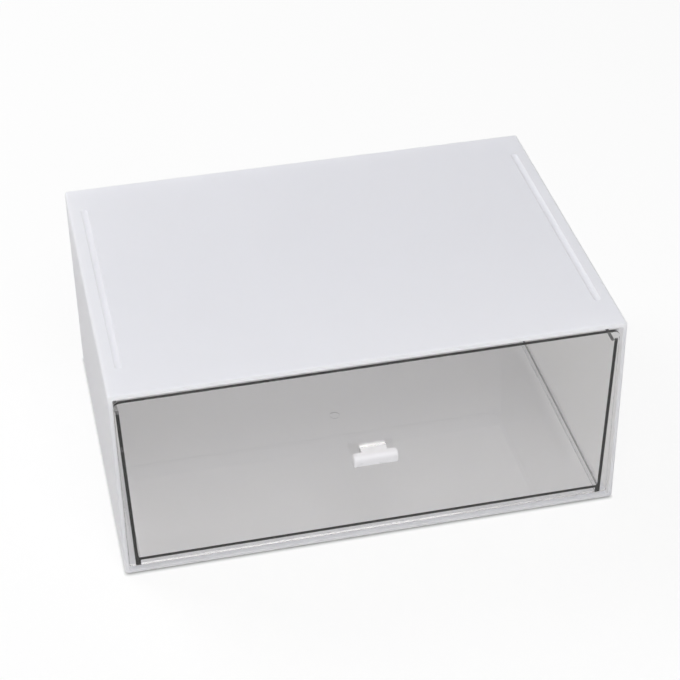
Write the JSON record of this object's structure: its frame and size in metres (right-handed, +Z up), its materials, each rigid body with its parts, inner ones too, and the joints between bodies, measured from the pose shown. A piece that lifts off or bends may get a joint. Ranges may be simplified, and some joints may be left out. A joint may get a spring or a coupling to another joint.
{
  "type": "stackable drawer box",
  "caption": "White open-fronted storage housing with grooves for stacking, holding a clear drawer that slides out by a small T-shaped pull.",
  "frame": {"origin": "under the middle of the whole object's box (pull included), at the level that the stacking ribs stand on", "axes": "+X to the right seen from the front, +Y to the back, +Z up; the drawer opens towards -Y"},
  "size_m": [0.33, 0.2494, 0.1455],
  "materials": {
    "white_plastic": "injection-moulded white polypropylene, satin",
    "clear_plastic": "injection-moulded clear styrene, polished",
    "pull_plastic": "injection-moulded white plastic, semi-gloss"
  },
  "bodies": {
    "housing": {"shell": "white_plastic"},
    "drawer": {"drawer": "clear_plastic", "pull_handle": "pull_plastic"}
  },
  "joints": [
    {"name": "drawer_slide", "type": "slide", "parent": "housing", "child": "drawer", "axis": [0, -1, 0], "range_m": [0, 0.2]}
  ]
}
